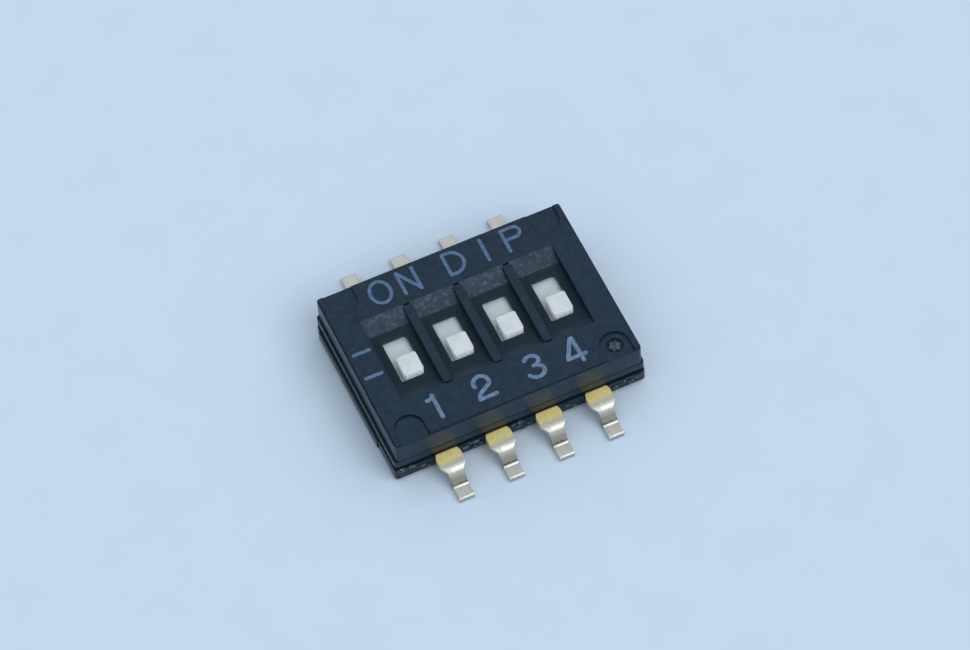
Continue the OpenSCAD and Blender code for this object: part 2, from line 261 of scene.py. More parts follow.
def break_edges(
    piece: Piece,
    width: float,
    angle: float,
    segments: int,
    share: Share = lambda middle, way: 1.0,
) -> None:
    """Rounds the outward edges of a shape that are sharper than an angle.

    Inward corners stay crisp, as a mould or a press tool leaves them.

    Args:
        piece: The object to change.
        width: Largest width of the rounding in millimetres.
        angle: Smallest angle between two faces that counts, in degrees.
        segments: Number of faces across the rounding.
        share: Share of the width that an edge takes, by its middle and its direction.
    """
    shape = bmesh.new()
    shape.from_mesh(piece.data)
    weights = shape.edges.layers.float.new("bevel_weight_edge")
    for edge in shape.edges:
        if edge.is_manifold and edge.calc_face_angle_signed() > math.radians(angle):
            start, end = (vertex.co for vertex in edge.verts)
            edge[weights] = share((start + end) / 2, (end - start).normalized())
    shape.to_mesh(piece.data)
    shape.free()
    apply(
        piece,
        "BEVEL",
        width=width,
        segments=segments,
        limit_method="WEIGHT",
        use_clamp_overlap=False,
        miter_outer="MITER_SHARP",
    )


def settle(piece: Piece, body: str, slot: Slot, *nodes: str) -> Piece:
    """Finishes a piece: smooth rounded edges, metres and its body.

    Args:
        piece: The object, in millimetres.
        body: Name of the CAD body that it moves with.
        slot: Material slot of the record; not used.
        *nodes: CAD nodes that it stands for.

    Returns:
        The same object.
    """
    take_up(piece)
    bpy.ops.object.shade_smooth_by_angle(angle=math.radians(SMOOTH_BEND))
    apply(piece, "WEIGHTED_NORMAL", keep_sharp=True)
    piece.data.transform(Matrix.Scale(MM, 4))
    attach(piece, body)
    if nodes:
        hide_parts(*nodes)
    log.info("%s: %d faces on %s", piece.name, len(piece.data.polygons), body)
    return piece


# ---- Finishes ----


class Shader:
    """Node tree of one finish, with its pattern measured in millimetres."""

    def __init__(self, name: str) -> None:
        """Starts a material with an empty surface.

        Args:
            name: Name of the material.
        """
        self.material = bpy.data.materials.new(name)
        self.material.use_nodes = True
        self.nodes = self.material.node_tree.nodes
        self.links = self.material.node_tree.links
        self.nodes.clear()
        self.surface = self.nodes.new("ShaderNodeBsdfPrincipled")
        output = self.nodes.new("ShaderNodeOutputMaterial")
        self.links.new(self.surface.outputs[0], output.inputs["Surface"])
        coordinates = self.nodes.new("ShaderNodeTexCoord")
        scale = self.nodes.new("ShaderNodeMapping")
        scale.inputs["Scale"].default_value = (1 / MM,) * 3
        self.links.new(coordinates.outputs["Object"], scale.inputs["Vector"])
        self.place = scale.outputs["Vector"]

    def constant(self, **values: object) -> None:
        """Sets sockets of the surface that are the same all over."""
        for name, value in values.items():
            self.surface.inputs[name.replace("_", " ")].default_value = value

    def noise(
        self,
        size: float,
        detail: float = 3.0,
        rough: float = 0.5,
        drawn: Sequence[float] = (1, 1, 1),
        turn: float = 0.0,
    ) -> Socket:
        """Adds a noise pattern.

        Args:
            size: Size of the pattern's spots in millimetres.
            detail: Number of finer layers.
            rough: Strength of the finer layers.
            drawn: How much the pattern is drawn out along its X, Y and Z.
            turn: Angle in degrees by which the drawn pattern is turned about Z.

        Returns:
            The pattern's value, about 0.5.
        """
        mapping = self.nodes.new("ShaderNodeMapping")
        mapping.vector_type = "TEXTURE"
        mapping.inputs["Scale"].default_value = tuple(drawn)
        mapping.inputs["Rotation"].default_value = (0.0, 0.0, math.radians(turn))
        self.links.new(self.place, mapping.inputs["Vector"])
        texture = self.nodes.new("ShaderNodeTexNoise")
        texture.inputs["Scale"].default_value = 1 / size
        texture.inputs["Detail"].default_value = detail
        texture.inputs["Roughness"].default_value = rough
        self.links.new(mapping.outputs["Vector"], texture.inputs["Vector"])
        return texture.outputs["Fac"]

    def part(self, axis: str) -> Socket:
        """Gives the X, Y or Z of the place in millimetres."""
        split = self.nodes.new("ShaderNodeSeparateXYZ")
        self.links.new(self.place, split.inputs[0])
        return split.outputs[axis]

    def across(self) -> Socket:
        """Gives the distance along X from the nearest switch's middle in millimetres."""
        half = PITCH / 2
        return self.math("WRAP", self.math("SUBTRACT", self.part("X"), half), half, -half)

    def spread(self, value: Socket, low: float, high: float, to_low: float, to_high: float) -> Socket:
        """Takes a value from one span to another and stops it at the ends.

        Args:
            value: The value to change.
            low: Start of its span.
            high: End of its span.
            to_low: What the start becomes.
            to_high: What the end becomes.

        Returns:
            The new value.
        """
        node = self.nodes.new("ShaderNodeMapRange")
        self.links.new(value, node.inputs["Value"])
        spans = ("From Min", "From Max", "To Min", "To Max")
        for name, number in zip(spans, (low, high, to_low, to_high)):
            node.inputs[name].default_value = number
        return node.outputs["Result"]

    def share(self, value: Socket, low: float, high: float) -> Socket:
        """Gives how far a value has come from a low to a high one, from 0 to 1."""
        return self.spread(value, low, high, 0, 1)

    def vary(self, pattern: Socket, low: float, high: float) -> Socket:
        """Takes a noise pattern to values between a low and a high one."""
        return self.spread(pattern, *NOISE_SPAN, low, high)

    def math(self, kind: str, *values: Socket | float) -> Socket:
        """Joins values.

        Args:
            kind: Operation, such as ADD.
            *values: What it joins, in the order of its sockets.

        Returns:
            The result.
        """
        node = self.nodes.new("ShaderNodeMath")
        node.operation = kind
        for socket, value in zip(node.inputs, values):
            if isinstance(value, Socket):
                self.links.new(value, socket)
            else:
                socket.default_value = value
        return node.outputs[0]

    def between(self, share: Socket, first: Socket | float, second: Socket | float) -> Socket:
        """Mixes two values, with the second one's share given."""
        step = self.math("SUBTRACT", second, first)
        return self.math("MULTIPLY_ADD", step, share, first)

    def blend(self, share: Socket, first: Colour | Socket, second: Colour | Socket) -> Socket:
        """Mixes two colours.

        Args:
            share: Share of the second colour.
            first: The first colour.
            second: The second colour.

        Returns:
            The mixed colour.
        """
        node = self.nodes.new("ShaderNodeMix")
        node.data_type = "RGBA"
        self.links.new(share, node.inputs["Factor"])
        for name, colour in (("A", first), ("B", second)):
            socket = next(s for s in node.inputs if s.name == name and s.type == "RGBA")
            if isinstance(colour, Socket):
                self.links.new(colour, socket)
            else:
                socket.default_value = colour
        return next(s for s in node.outputs if s.type == "RGBA")

    def feed(self, name: str, value: Socket) -> None:
        """Links a pattern to one socket of the surface."""
        self.links.new(value, self.surface.inputs[name])

    def relief(self, height: Socket, depth: float) -> None:
        """Gives the surface a bump.

        Args:
            height: Pattern of the bump from 0 to 1.
            depth: Height of a full step in millimetres.
        """
        node = self.nodes.new("ShaderNodeBump")
        node.inputs["Distance"].default_value = depth * MM
        self.links.new(height, node.inputs["Height"])
        self.links.new(node.outputs[0], self.surface.inputs["Normal"])


@dataclass(frozen=True)
class BlackMoulding:
    """Black glass-filled plastic with a faint mottle from the mould."""

    name: str
    deep: Colour
    raised: Colour
    mottle: float = 0.35
    grain: float = 0.045
    change: Span = (0.4, 0.6)
    roughness: Span = (0.26, 0.4)
    depth: float = 0.003
    shine: float = 0.3

    def material(self) -> Material:
        """Builds the finish."""
        shader = Shader(self.name)
        cloud = shader.noise(self.mottle, 4.0, 0.6)
        fine = shader.noise(self.grain, 3.0, 0.6)
        mixed = shader.math("MULTIPLY", shader.math("ADD", cloud, fine), 0.5)
        shader.feed("Base Color", shader.blend(shader.share(mixed, *self.change), self.deep, self.raised))
        shader.feed("Roughness", shader.vary(fine, *self.roughness))
        shader.relief(fine, self.depth)
        shader.constant(Specular_IOR_Level=self.shine)
        return shader.material


@dataclass(frozen=True)
class EtchedRamp:
    """Coarse spark-eroded face of the cover, paler than the plain plastic from its own grain and from painted
    sheen, with scattered specks of painted glint.
    """

    name: str = "etched_ramp"
    # deep and raised: paler than the cover, partly the etched grain's own grey and partly painted sheen
    deep: Colour = display(14, 38, 50)
    raised: Colour = display(28, 50, 64)
    # Painted highlight: pale specks standing in for glints off the etched grain
    speck: Colour = display(72, 90, 110)
    grain: float = 0.065
    change: Span = (0.38, 0.62)
    glint_span: Span = (0.5, 0.72)
    speck_share: float = 0.8
    roughness: Span = (0.5, 0.75)
    depth: float = 0.014

    def material(self) -> Material:
        """Builds the finish."""
        shader = Shader(self.name)
        coarse = shader.noise(self.grain, 4.0, 0.65)
        cloud = shader.noise(self.grain * 5, 2.0, 0.5)
        mixed = shader.math("MULTIPLY", shader.math("ADD", coarse, cloud), 0.5)
        body = shader.blend(shader.share(mixed, *self.change), self.deep, self.raised)
        # Painted glints scattered over the ramp
        glint_specks = shader.spread(shader.noise(self.grain * 1.5, 3.0, 0.65), *self.glint_span, 0, self.speck_share)
        shader.feed("Base Color", shader.blend(glint_specks, body, self.speck))
        shader.feed("Roughness", shader.vary(coarse, *self.roughness))
        shader.relief(coarse, self.depth)
        return shader.material


@dataclass(frozen=True)
class RecessFloor:
    """Floor and OFF ramps of the recess in painted shade, darkest beside a window and fading up the ramps.

    window, ends and climb say where along X, Y and Z the colour changes.
    """

    name: str = "recess_floor"
    # Painted shade: plain is the floor's darker tone, black darker still beside a window, rim the cover's own
    # tone up the ramps
    plain: Colour = display(8, 32, 42)
    black: Colour = display(8, 30, 38)
    rim: Colour = display(12, 38, 54)
    window: Span = (0.3, 0.4)
    ends: Span = (0.55, 0.8)
    climb: Span = (1.29, 1.43)
    grain: float = 0.045
    roughness: Span = (0.35, 0.5)
    depth: float = 0.003
    shine: float = 0.24
    narrow_loss: float = 0.05
    rim_shine: float = 0.3

    def material(self) -> Material:
        """Builds the finish."""
        shader = Shader(self.name)
        fine = shader.noise(self.grain, 3.0, 0.6)
        beside = shader.share(shader.math("ABSOLUTE", shader.across()), *self.window)
        along = shader.spread(shader.math("ABSOLUTE", shader.part("Y")), *self.ends, 1, 0)
        # Painted shade beside each window, fading out towards the window's ends
        beside_window_shade = shader.math("MULTIPLY", beside, along)
        risen = shader.share(shader.part("Z"), *self.climb)
        # Painted shade over the floor and OFF ramps, fading to the cover's own tone as they rise
        colour = shader.blend(beside_window_shade, self.plain, self.black)
        shader.feed("Base Color", shader.blend(risen, colour, self.rim))
        shader.feed("Roughness", shader.vary(fine, *self.roughness))
        # Less shine under the painted shade beside a window
        shine = shader.math("MULTIPLY_ADD", beside_window_shade, -self.narrow_loss, self.shine)
        shader.feed("Specular IOR Level", shader.between(risen, shine, self.rim_shine))
        shader.relief(fine, self.depth)
        return shader.material


@dataclass(frozen=True)
class WhiteMoulding:
    """White plastic of the sliders, with painted light that brightens the knob's sides and painted shade that
    dulls the slab below.

    window and crown are the heights where the slab ends and where the knob's top begins.
    """

    name: str = "slider_white"
    clean: Colour = display(210, 217, 215)
    dull: Colour = display(198, 206, 206)
    # Painted shade: the slab down in the window, greyer than the knob
    low: Colour = display(189, 201, 199)
    # Painted light: the knob's sides, paler than its top
    painted_flank_light: Colour = display(240, 245, 243)
    window: Span = (1.16, 1.2)
    crown: Span = (1.395, 1.425)
    mottle: float = 0.3
    grain: float = 0.05
    change: Span = (0.35, 0.65)
    roughness: Span = (0.4, 0.55)
    depth: float = 0.004
    milk: float = 0.7
    bleed: float = 0.3

    def material(self) -> Material:
        """Builds the finish."""
        shader = Shader(self.name)
        cloud = shader.noise(self.mottle, 3.0, 0.55)
        fine = shader.noise(self.grain, 3.0, 0.6)
        top = shader.blend(shader.share(cloud, *self.change), self.clean, self.dull)
        # Painted light on the knob's sides, up to its top
        knob = shader.blend(shader.share(shader.part("Z"), *self.crown), self.painted_flank_light, top)
        # Painted shade on the slab below the window's edge
        colour = shader.blend(shader.share(shader.part("Z"), *self.window), self.low, knob)
        shader.feed("Base Color", colour)
        shader.feed("Roughness", shader.vary(fine, *self.roughness))
        shader.relief(fine, self.depth)
        shader.constant(Subsurface_Weight=self.milk, Subsurface_Scale=self.bleed * MM)
        shader.constant(Subsurface_Radius=(1.0, 0.9, 0.8))
        return shader.material


@dataclass(frozen=True)
class Plating:
    """Gold flash on the terminals' shoulders over bright tin.

    The gold stops short of the upper bend in a ragged line. The tin is smooth
    and bright over one part of the bend and dull beside it. Painted shade darkens the
    terminal where it leaves the base, down its slope and just above the foot, and
    partly greys its cut tip.
    The spans from root_end to tip are measured out from the middle of the
    switch, and dull_side and crowned across a terminal.
    """

    name: str = "terminal_plating_finish"
    gold: Colour = display(250, 236, 166)
    deep_gold: Colour = display(236, 217, 134)
    # Painted shade where the terminal leaves the base
    root_painted_shade: Colour = display(60, 48, 26)
    pale: Colour = display(217, 215, 203)
    grey: Colour = display(201, 198, 185)
    # Painted shade: the sloping leg darker than the foot
    leg_painted_shade: Colour = display(154, 150, 140)
    # Painted shade in the crease above the foot
    crease_painted_shade: Colour = display(86, 82, 74)
    # The foot's cut end, partly its bare cut and partly painted shade
    cut: Colour = display(176, 178, 176)
    root_end: Span = (2.3, 2.33)
    gold_end: Span = (2.56, 2.67)
    leg_span: Span = (2.86, 2.98)
    bright_span: Span = (2.72, 2.8)
    crease_at: Span = (3.045, 3.06)
    crease_end: Span = (3.064, 3.076)
    heel: Span = (3.07, 3.13)
    tip: Span = (3.446, 3.45)
    dull_side: Span = (-0.2, -0.06)
    crowned: Span = (0.1, 0.3)
    change: Span = (0.36, 0.64)
    slant: float = 0.06
    ragged: float = 0.02
    gold_rough: Span = (0.5, 0.62)
    tin_rough: Span = (0.38, 0.48)
    dull_rough: float = 0.52
    metal: Span = (0.4, 0.85)
    grain_depth: float = 0.004
    round_depth: float = 0.03

    def material(self) -> Material:
        """Builds the finish."""
        shader = Shader(self.name)
        cloud = shader.noise(0.16, 4.0, 0.6)
        fine = shader.noise(0.03, 3.0, 0.65)
        brushed = shader.noise(0.025, 3.0, 0.6, (5.0, 1.0, 1.0), 24)
        rolled = shader.noise(0.035, 3.0, 0.6, (1.0, 7.0, 7.0))
        across = shader.across()
        reach = shader.math("ABSOLUTE", shader.part("Y"))
        wander = shader.vary(cloud, -self.ragged, self.ragged)
        edge = shader.math("ADD", shader.math("MULTIPLY_ADD", across, self.slant, reach), wander)
        bare = shader.share(edge, *self.gold_end)
        dull = shader.spread(shader.math("ADD", across, wander), *self.dull_side, 1, 0)
        gold = shader.blend(shader.share(brushed, *self.change), self.deep_gold, self.gold)
        # Painted shade at the root
        gold = shader.blend(shader.share(reach, *self.root_end), self.root_painted_shade, gold)
        pale = shader.blend(shader.vary(rolled, 0, 1), self.grey, self.pale)
        before = shader.spread(reach, *self.crease_end, 1, 0)
        # Painted shade down the leg, up to the crease
        on_leg = shader.math("MULTIPLY", shader.share(reach, *self.leg_span), before)
        colour = shader.blend(bare, gold, shader.blend(on_leg, pale, self.leg_painted_shade))
        # Painted shade in the crease above the foot
        after = shader.share(shader.math("ADD", reach, wander), *self.crease_at)
        colour = shader.blend(shader.math("MULTIPLY", after, before), colour, self.crease_painted_shade)
        # Grey on the cut end, partly painted shade
        shader.feed("Base Color", shader.blend(shader.share(reach, *self.tip), colour, self.cut))
        tin = shader.between(dull, shader.vary(fine, *self.tin_rough), self.dull_rough)
        shader.feed("Roughness", shader.between(bare, shader.vary(fine, *self.gold_rough), tin))
        shader.feed("Metallic", shader.spread(reach, *self.bright_span, *self.metal))
        grain = shader.math("MULTIPLY", shader.between(bare, brushed, rolled), self.grain_depth)
        crown = shader.spread(shader.math("ABSOLUTE", across), *self.crowned, 0, -self.round_depth)
        rise = shader.spread(reach, *self.heel, self.round_depth, 0)
        shader.relief(shader.math("ADD", grain, shader.math("ADD", crown, rise)), 1.0)
        return shader.material


@dataclass(frozen=True)
class SpringGold:
    """Gold-plated spring strip with fine rolling lines."""

    name: str = "spring_gold"
    bright: Colour = display(236, 204, 120)
    dull: Colour = display(206, 168, 84)
    change: Span = (0.35, 0.65)
    roughness: Span = (0.2, 0.34)
    depth: float = 0.002

    def material(self) -> Material:
        """Builds the finish."""
        shader = Shader(self.name)
        rolled = shader.noise(0.04, 3.0, 0.6, (1.0, 10.0, 10.0))
        shader.feed("Base Color", shader.blend(shader.share(rolled, *self.change), self.dull, self.bright))
        shader.feed("Roughness", shader.vary(rolled, *self.roughness))
        shader.relief(rolled, self.depth)
        shader.constant(Metallic=1.0)
        return shader.material


@dataclass(frozen=True)
class PadInk:
    """Thin slate-blue pad-printing ink that lets the plastic through in places.

    middle is where along Y the numerals' ink gives way to the words'.
    """

    name: str = "slate_ink"
    full: Colour = display(105, 132, 158)
    thin: Colour = display(72, 96, 122)
    word: Colour = display(86, 113, 144)
    thin_word: Colour = display(62, 86, 114)
    patch: float = 0.09
    change: Span = (0.34, 0.6)
    middle: Span = (-1.0, 1.0)
    roughness: Span = (0.6, 0.8)
    depth: float = 0.003
    shine: float = 0.3

    def material(self) -> Material:
        """Builds the finish."""
        shader = Shader(self.name)
        cover = shader.noise(self.patch, 4.0, 0.7)
        share = shader.share(cover, *self.change)
        numeral = shader.blend(share, self.thin, self.full)
        word = shader.blend(share, self.thin_word, self.word)
        shader.feed("Base Color", shader.blend(shader.share(shader.part("Y"), *self.middle), numeral, word))
        shader.feed("Roughness", shader.vary(cover, *self.roughness))
        shader.relief(cover, self.depth)
        shader.constant(Specular_IOR_Level=self.shine)
        return shader.material


@dataclass(frozen=True)
class TornPlastic:
    """Plastic that was torn or squeezed out, pale in patches: where it stretched on the gate scar, and as
    painted highlight for glints on the flash.
    """

    name: str
    dark: Colour
    pale: Colour
    stretch_and_glint: Span = (0.42, 0.56)
    roughness: Span = (0.5, 0.7)
    grain: float = 0.11
    depth: float = 0.02

    def material(self) -> Material:
        """Builds the finish."""
        shader = Shader(self.name)
        torn = shader.noise(self.grain, 5.0, 0.7)
        # Pale patches: stretch marks on the gate scar, painted highlight on the moulding flash
        shader.feed("Base Color", shader.blend(shader.share(torn, *self.stretch_and_glint), self.dark, self.pale))
        shader.feed("Roughness", shader.vary(torn, *self.roughness))
        shader.relief(torn, self.depth)
        return shader.material


@dataclass(frozen=True)
class PaleCard:
    """Pale blue card that the switch stands on, with tiny lighter specks."""

    name: str = "pale_card"
    plain: Colour = display(200, 216, 230)
    deep: Colour = display(198, 214, 228)
    speck: Colour = display(216, 228, 240)
    mottle: float = 1.6
    change: Span = (0.35, 0.65)
    speck_size: float = 0.12
    speck_span: Span = (0.74, 0.8)
    speck_share: float = 0.6
    roughness: Span = (0.8, 0.9)
    grain: float = 0.2
    depth: float = 0.004
    shine: float = 0.1

    def material(self) -> Material:
        """Builds the finish."""
        shader = Shader(self.name)
        cloud = shader.noise(self.mottle, 4.0, 0.6)
        body = shader.blend(shader.share(cloud, *self.change), self.deep, self.plain)
        dots = shader.noise(self.speck_size, 1.0, 0.5)
        specks = shader.spread(dots, *self.speck_span, 0, self.speck_share)
        shader.feed("Base Color", shader.blend(specks, body, self.speck))
        shader.feed("Roughness", shader.vary(cloud, *self.roughness))
        shader.relief(shader.noise(self.grain, 3.0, 0.6), self.depth)
        shader.constant(Specular_IOR_Level=self.shine)
        return shader.material


# ---- Printing ----


@dataclass(frozen=True)
class Line:
    """Straight stroke with round ends."""

    start: Point
    end: Point


@dataclass(frozen=True)
class Arc:
    """Stroke along part of an ellipse, angles in degrees from +X."""

    centre: Point
    reach: Point
    start: float
    end: float


@dataclass
class TopPrinting:
    """Lettering, numerals and index bars printed on the cover's top face."""

    level: float
    word_stroke: float = 0.085
    numeral_stroke: float = 0.1
    bar_stroke: float = 0.09
    swell: float = 1.006
    ink_t: float = 0.004
    dot_corners: int = 24
    arc_step: float = 0.16
    glyphs: list[tuple[float, list[Line | Arc]]] = field(default_factory=list)

    def layout(self) -> None:
        """Lists every glyph's strokes by their middle lines."""
        words = (
            [Arc((-1.686, 1.805), (0.247, 0.312), 0, 360)],
            [
                Line((-1.157, 1.5), (-1.157, 2.135)),
                Line((-1.157, 2.135), (-0.763, 1.5)),
                Line((-0.763, 1.5), (-0.763, 2.135)),
            ],
            [
                Line((0.012, 1.51), (0.012, 2.12)),
                Line((0.012, 2.12), (0.14, 2.12)),
                Arc((0.14, 1.815), (0.3, 0.305), -90, 90),
                Line((0.14, 1.51), (0.012, 1.51)),
            ],
            [Line((0.985, 1.51), (0.985, 2.135))],
            [
                Line((1.53, 1.515), (1.53, 2.135)),
                Line((1.53, 2.135), (1.81, 2.135)),
                Arc((1.81, 1.987), (0.15, 0.148), -90, 90),
                Line((1.81, 1.839), (1.53, 1.839)),
            ],
        )
        numerals = (
            [
                Line((-1.785, -2.0), (-1.785, -1.355)),
                Arc((-1.93, -1.34), (0.145, 0.11), 265, 355),
            ],
            [
                Arc((-0.62, -1.54), (0.185, 0.19), -30, 195),
                Line((-0.46, -1.635), (-0.7, -1.775)),
                Arc((-0.61, -1.955), (0.205, 0.195), 118, 180),
                Line((-0.815, -1.957), (-0.405, -1.95)),
            ],
            [
                Arc((0.665, -1.505), (0.172, 0.142), -90, 152),
                Arc((0.665, -1.811), (0.197, 0.164), -162, 90),
            ],
            [
                Line((1.785, -2.005), (1.76, -1.34)),
                Line((1.72, -1.34), (1.455, -1.845)),
                Line((1.455, -1.855), (1.895, -1.85)),
            ],
        )
        bars = ([Line((-2.955, 0.45), (-2.57, 0.45))], [Line((-2.955, -0.265), (-2.565, -0.265))])
        for width, group in (
            (self.word_stroke, words),
            (self.numeral_stroke, numerals),
            (self.bar_stroke, bars),
        ):
            self.glyphs += [(width, strokes) for strokes in group]

    def dot(self, at: Point, width: float) -> Piece:
        """Adds one round dot of ink.

        Args:
            at: Place of its middle on the top face.
            width: Its width.

        Returns:
            The dot as a flat disc.
        """
        deselect_all()
        bpy.ops.mesh.primitive_circle_add(
            vertices=self.dot_corners, radius=width / 2, fill_type="NGON", location=(*at, self.level)
        )
        return newest()

    def line(self, stroke: Line, width: float) -> Piece:
        """Draws a dot out into a straight stroke.

        Args:
            stroke: The stroke's two ends.
            width: Its width.

        Returns:
            The stroke as a flat face.
        """
        piece = self.dot(stroke.start, width)
        start, end = Vector(stroke.start), Vector(stroke.end)
        way = end - start
        choose(piece, points=lambda place: (place.xy - start).dot(way) > 0)
        bpy.ops.transform.translate(value=(*way, 0))
        bpy.ops.object.mode_set(mode="OBJECT")
        return piece

    def arc(self, stroke: Arc, width: float) -> Piece:
        """Spins a bar of ink round its centre into a curved stroke.

        Args:
            stroke: The stroke's ellipse and angles.
            width: Its width.

        Returns:
            The stroke as flat faces.
        """
        deselect_all()
        bpy.ops.mesh.primitive_plane_add(size=width, location=(stroke.reach[0], 0, self.level))
        piece = newest()
        choose(piece, points=lambda place: place.y > 0)
        bpy.ops.mesh.delete(type="VERT")
        bpy.ops.mesh.select_all(action="SELECT")
        bpy.ops.transform.translate(value=(0, width / 2, 0))
        turn = math.radians(stroke.end - stroke.start)
        steps = max(4, round(turn / self.arc_step))
        bpy.ops.mesh.spin(steps=steps, angle=-turn, center=(0, 0, 0), axis=(0, 0, 1))
        bpy.ops.mesh.select_all(action="SELECT")
        bpy.ops.mesh.remove_doubles(threshold=WELD)
        bpy.ops.object.mode_set(mode="OBJECT")
        self.turn_and_fit(piece, stroke, width)
        return piece

    def turn_and_fit(self, piece: Piece, stroke: Arc, width: float) -> None:
        """Turns a round stroke to its start, flattens it to its ellipse and places it.

        Args:
            piece: The stroke, round about the origin and starting on +X.
            stroke: Where it goes.
            width: Its width, which the flattening keeps.
        """
        start = math.radians(stroke.start)
        radius, tall = stroke.reach
        for vertex in piece.data.vertices:
            angle = math.atan2(vertex.co.y, vertex.co.x) + start
            out = vertex.co.xy.length - radius
            middle = Vector((radius * math.cos(angle), tall * math.sin(angle)))
            square = Vector((tall * math.cos(angle), radius * math.sin(angle))).normalized()
            vertex.co.xy = Vector(stroke.centre) + middle + square * out

    def glyph(self, width: float, strokes: list[Line | Arc], name: str) -> Piece:
        """Joins a glyph's strokes into one solid film of ink.

        Each stroke is a hair wider than the one before, so no two ends coincide.

        Args:
            width: Width of its first stroke.
            strokes: Its strokes.
            name: Name of the piece.

        Returns:
            The glyph.
        """
        films = []
        for stroke in strokes:
            if isinstance(stroke, Line):
                films.append(self.line(stroke, width))
                width *= self.swell
                continue
            films.append(self.arc(stroke, width))
            if stroke.end - stroke.start < 360:
                for angle in (stroke.start, stroke.end):
                    width *= self.swell
                    turn = math.radians(angle)
                    at = (
                        stroke.centre[0] + stroke.reach[0] * math.cos(turn),
                        stroke.centre[1] + stroke.reach[1] * math.sin(turn),
                    )
                    films.append(self.dot(at, width))
            width *= self.swell
        for film in films:
            choose(film, points=lambda place: True)
            bpy.ops.mesh.normals_make_consistent(inside=False)
            bpy.ops.mesh.extrude_region_move(TRANSFORM_OT_translate={"value": (0, 0, self.ink_t)})
            bpy.ops.mesh.select_all(action="SELECT")
            bpy.ops.mesh.normals_make_consistent(inside=False)
            bpy.ops.object.mode_set(mode="OBJECT")
        whole = films[0]
        for film in films[1:]:
            apply(whole, "BOOLEAN", operation="UNION", object=film, solver="EXACT")
            bpy.data.objects.remove(film)
        whole.name = name
        return whole

    def build(self) -> Piece:
        """Prints every glyph and joins them into one piece.

        Returns:
            The printing.
        """
        self.layout()
        pieces = [self.glyph(width, strokes, f"glyph_{i}") for i, (width, strokes) in enumerate(self.glyphs)]
        printing = join(pieces, "top_printing")
        printing.data.materials.clear()
        printing.data.materials.append(PadInk().material())
        return settle(printing, Body.HOUSING.value, Slot.COVER)


# ---- Housing ----


@dataclass
class Cover:
    """Cover moulding with its etched ramps and printing.

    The faces of each finish are told apart by how level they lie, which is the
    Z of their normal, by their place and by their size.
    """

    edge: float = 0.012
    chamfer: float = 0.05
    level: float = 0.99
    ramp_level: Span = (0.85, 0.95)
    rim_level: Span = (0.3, 0.95)
    ramp_area: float = 0.3
    plastic: BlackMoulding = BlackMoulding("cover_black", display(2, 30, 46), display(20, 44, 60), mottle=0.2)
    ramp: EtchedRamp = EtchedRamp()
    # Painted shade: darker, duller plastic on the top edges' chamfer and in the gate's pit
    rim: BlackMoulding = BlackMoulding(
        "cover_rim_painted_shade", display(6, 24, 34), display(14, 34, 46), roughness=(0.55, 0.7), shine=0.15
    )
    floor: RecessFloor = RecessFloor()
    floor_drop: Span = (0.15, 0.25)
    pit_reach: float = 0.21
    pit_drop: float = 0.065
    slot_ends: Span = (-1.17, 1.225)
    slot_reach: float = 1.3

    def share(self, middle: Vector, way: Vector) -> float:
        """Leaves the ends of the ribs' slots sharp and rounds every other edge."""
        low, high = self.slot_ends
        return float(low < middle.y < high or abs(middle.y) > self.slot_reach)

    def finish_of(self, face: bpy.types.MeshPolygon, top: float) -> CoverFinish:
        """Finds the finish that a face of the cover takes.

        Args:
            face: The face.
            top: Level of the top face.

        Returns:
            The floor's finish, with painted shade, for the recess floor and the OFF side's ramps, the ramp's
            for the ON side's, the rim's painted shade for the chamfer and the gate's pit, and otherwise the
            plain one.
        """
        drop = top - face.center.z
        level = face.normal.z
        low, high = self.floor_drop
        if level > self.level and low < drop < high:
            return CoverFinish.FLOOR
        low, high = self.ramp_level
        if low < level < high and face.area > self.ramp_area:
            return CoverFinish.RAMP if face.center.y > 0 else CoverFinish.FLOOR
        # The gate's pit and the top chamfer take the rim's painted shade
        in_pit = (face.center.xy - Vector(GATE)).length < self.pit_reach and drop > self.pit_drop
        low, high = self.rim_level
        on_rim = low < level < high and face.center.z > top - self.chamfer
        return CoverFinish.RIM if in_pit or on_rim else CoverFinish.PLAIN

    def build(self) -> None:
        """Builds and dresses the cover."""
        piece = from_node("cover", "cover_moulding")
        break_edges(piece, self.edge, 40, 2, self.share)
        for finish in (self.plastic, self.ramp, self.rim, self.floor):
            piece.data.materials.append(finish.material())
        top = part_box("cover")[1].z / MM
        for face in piece.data.polygons:
            face.material_index = self.finish_of(face, top).value
        settle(piece, Body.HOUSING.value, Slot.COVER, "cover")
        TopPrinting(level=top).build()


@dataclass
class GateScar:
    """Torn star of plastic on the gate's stub."""

    level: float = 1.356
    radius: float = 0.165
    lobes: int = 6
    waist: float = 0.66
    height: float = 0.022
    finish: TornPlastic = TornPlastic("torn_gate", display(14, 28, 36), display(66, 80, 84))

    def build(self) -> None:
        """Builds the star from a disc with every other corner pulled in."""
        deselect_all()
        middle = Vector((*GATE, self.level))
        bpy.ops.mesh.primitive_circle_add(
            vertices=2 * self.lobes, radius=self.radius, fill_type="NGON", location=middle
        )
        scar = newest()
        scar.name = "gate_scar"
        corners = [vertex.co.copy() for vertex in scar.data.vertices][::2]
        choose(scar, points=lambda place: place in corners)
        bpy.ops.transform.resize(value=(self.waist,) * 3, center_override=middle)
        bpy.ops.mesh.select_all(action="SELECT")
        bpy.ops.mesh.extrude_region_move(TRANSFORM_OT_translate={"value": (0, 0, self.height)})
        bpy.ops.mesh.inset(thickness=self.radius / 7, depth=self.height / 4)
        bpy.ops.mesh.poke()
        bpy.ops.transform.vertex_random(offset=self.height / 2, seed=4)
        bpy.ops.mesh.select_all(action="SELECT")
        bpy.ops.mesh.normals_make_consistent(inside=False)
        bpy.ops.object.mode_set(mode="OBJECT")
        scar.data.materials.append(self.finish.material())
        settle(scar, Body.HOUSING.value, Slot.COVER)


